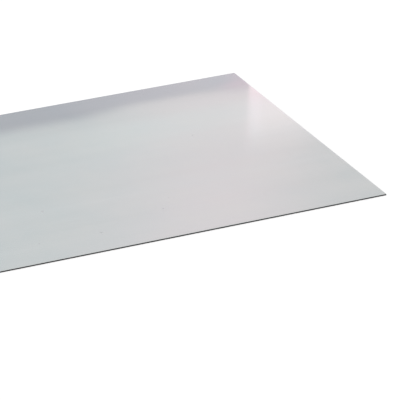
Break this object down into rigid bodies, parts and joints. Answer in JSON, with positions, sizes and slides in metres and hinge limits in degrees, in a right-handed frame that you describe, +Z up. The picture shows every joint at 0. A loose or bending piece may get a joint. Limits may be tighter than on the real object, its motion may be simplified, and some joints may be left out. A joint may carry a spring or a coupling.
{
  "type": "galvannealed steel sheet",
  "caption": "Flat rectangular blank of zinc-iron coated sheet steel with sheared edges, for cutting, bending, welding and painting.",
  "frame": {"origin": "centre of the underside, on the surface that the sheet lies on", "axes": "+X along the length and the rolling direction, +Y across the width, +Z up through the thickness"},
  "size_m": [0.6096, 0.3048, 0.0013],
  "materials": {
    "galvannealed_steel": "satin grey zinc-iron coating, bare steel on the cut edges"
  },
  "bodies": {
    "root": {"sheet": "galvannealed_steel"}
  },
  "joints": []
}
